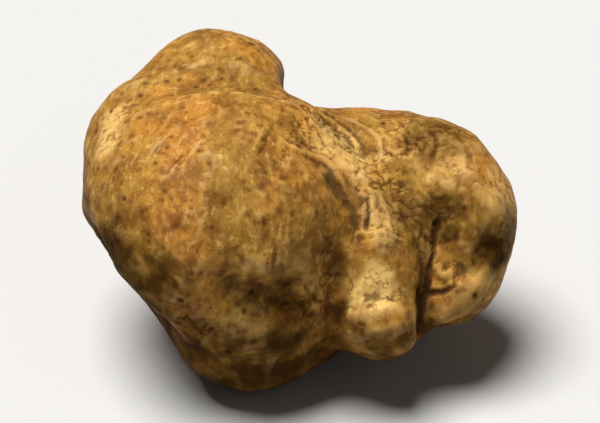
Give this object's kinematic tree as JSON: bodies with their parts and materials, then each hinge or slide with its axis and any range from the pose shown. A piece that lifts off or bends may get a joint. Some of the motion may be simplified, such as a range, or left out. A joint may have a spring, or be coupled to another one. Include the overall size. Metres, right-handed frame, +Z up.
{
  "type": "white truffle",
  "caption": "Knobbly lobed tuber with a furrowed, pitted face, resting on a small flat spot; a natural foodstuff to set down, slice or heap up.",
  "frame": {"origin": "under the middle of the bounding box, on the surface the tuber rests on", "axes": "+Z up; +X along the longest side, from the big bulb towards the folded lobe; the furrowed face looks along -Y"},
  "size_m": [0.113, 0.0886, 0.0799],
  "materials": {
    "truffle_skin": "matte"
  },
  "bodies": {
    "root": {"truffle": "truffle_skin"}
  },
  "joints": []
}
